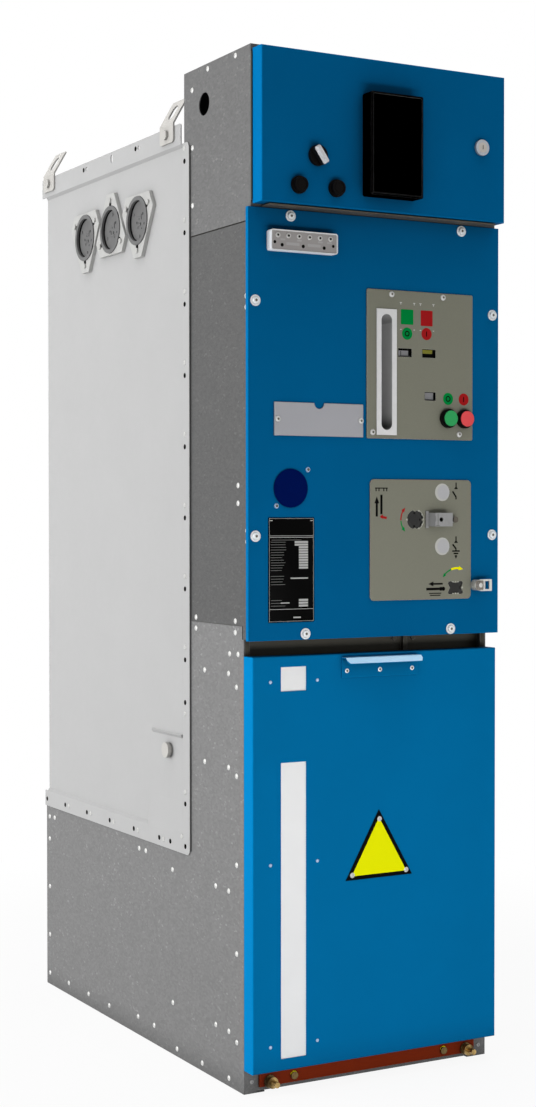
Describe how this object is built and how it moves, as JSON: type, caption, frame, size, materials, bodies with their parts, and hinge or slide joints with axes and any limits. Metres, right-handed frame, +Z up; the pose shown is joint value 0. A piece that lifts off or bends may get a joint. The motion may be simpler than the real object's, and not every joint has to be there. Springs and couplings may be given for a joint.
{
  "type": "ring main unit",
  "caption": "Floor-standing medium-voltage ring main unit cubicle: gas tank behind, cable base, mechanism panel and control box with doors, drives and push buttons.",
  "frame": {"origin": "centre of the four floor bolts, at floor level, midway between the base's front and back edges", "axes": "+Z up, the front with its doors and controls faces -Y, +X to the right seen from the front"},
  "size_m": [0.52, 0.98, 1.775],
  "materials": {
    "galvanised_base": "galvanised sheet, fine grey spangle",
    "dark_rail": "dark painted steel",
    "copper_bar": "red-brown painted copper bar",
    "brass": "plain brass",
    "tank_paint": "light grey satin paint",
    "off_white": "off-white paint",
    "plug_grey": "dark grey moulded insulation",
    "blue_top": "blue satin powder coat",
    "blue_mid": "blue satin powder coat",
    "blue_low": "blue satin powder coat",
    "black_plastic": "black moulded plastic",
    "white_plastic": "white moulded plastic",
    "steel": "zinc plated steel",
    "light_plastic": "light grey moulded plastic",
    "plate_grey": "grey printed plate",
    "navy": "dark blue window",
    "olive_plate": "olive grey printed plate",
    "slot_grey": "light grey frame",
    "flag_white": "off-white",
    "green": "green button",
    "red": "red button",
    "drive_grey": "dark grey",
    "opal": "opal window"
  },
  "bodies": {
    "cubicle": {"base_side_left": "galvanised_base", "base_side_right": "galvanised_base", "base_back": "galvanised_base", "base_floor": "galvanised_base", "front_frame": "galvanised_base", "interlock_rail": "dark_rail", "earth_bar": "copper_bar", "earth_studs": "brass", "mid_side_left": "galvanised_base", "mid_side_right": "galvanised_base", "mid_floor": "galvanised_base", "tank_wrap": "tank_paint", "tank_side_left": "tank_paint", "tank_side_right": "tank_paint", "gas_valve_cap": "off_white", "lifting_lugs": "off_white", "bus_flanges": "tank_paint", "bus_plugs": "plug_grey", "box_side_left": "galvanised_base", "box_side_right": "galvanised_base", "box_back": "galvanised_base", "box_roof": "galvanised_base", "box_floor": "galvanised_base", "box_hinge": "steel", "mid_panel": "blue_mid", "voltage_indicator": "light_plastic", "document_plate": "plate_grey", "round_window": "navy", "mechanism_plate": "olive_plate", "lever_slot": "slot_grey", "position_flags": "flag_white", "button_collars": "black_plastic", "switch_plate": "olive_plate", "padlock_hasp": "steel", "side_latch": "steel"},
    "box_door": {"box_door": "blue_top", "relay": "black_plastic", "door_controls": "black_plastic"},
    "selector": {"selector_handle": "white_plastic"},
    "lock": {"door_lock": "steel"},
    "open_button": {"open_button": "green"},
    "close_button": {"close_button": "red"},
    "upper_drive": {"upper_drive": "drive_grey"},
    "lower_drive": {"lower_drive": "drive_grey"},
    "cable_door": {"cable_door": "blue_low", "door_windows": "opal", "lift_handle": "blue_low"}
  },
  "joints": [
    {"name": "box_door_hinge", "type": "hinge", "parent": "cubicle", "child": "box_door", "pos_m": [-0.249, -0.4674, 1.6375], "axis": [0, 0, -1], "range_deg": [0, 110]},
    {"name": "selector_turn", "type": "hinge", "parent": "box_door", "child": "selector", "pos_m": [-0.1405, -0.51, 1.592], "axis": [0, 1, 0], "range_deg": [0, 90]},
    {"name": "lock_turn", "type": "hinge", "parent": "box_door", "child": "lock", "pos_m": [0.196, -0.5, 1.637], "axis": [0, 1, 0], "range_deg": [0, 90]},
    {"name": "open_press", "type": "slide", "parent": "cubicle", "child": "open_button", "axis": [0, 1, 0], "range_m": [0, 0.004], "stiffness_N_per_m": 400},
    {"name": "close_press", "type": "slide", "parent": "cubicle", "child": "close_button", "axis": [0, 1, 0], "range_m": [0, 0.004], "stiffness_N_per_m": 400},
    {"name": "upper_drive_turn", "type": "hinge", "parent": "cubicle", "child": "upper_drive", "pos_m": [0.076, -0.471, 0.9785], "axis": [0, 1, 0], "range_deg": [0, 90]},
    {"name": "lower_drive_turn", "type": "hinge", "parent": "cubicle", "child": "lower_drive", "pos_m": [0.1625, -0.471, 0.857], "axis": [0, 1, 0], "range_deg": [0, 90]},
    {"name": "cable_door_lift", "type": "slide", "parent": "cubicle", "child": "cable_door", "axis": [0, 0, 1], "range_m": [0, 0.02]}
  ]
}
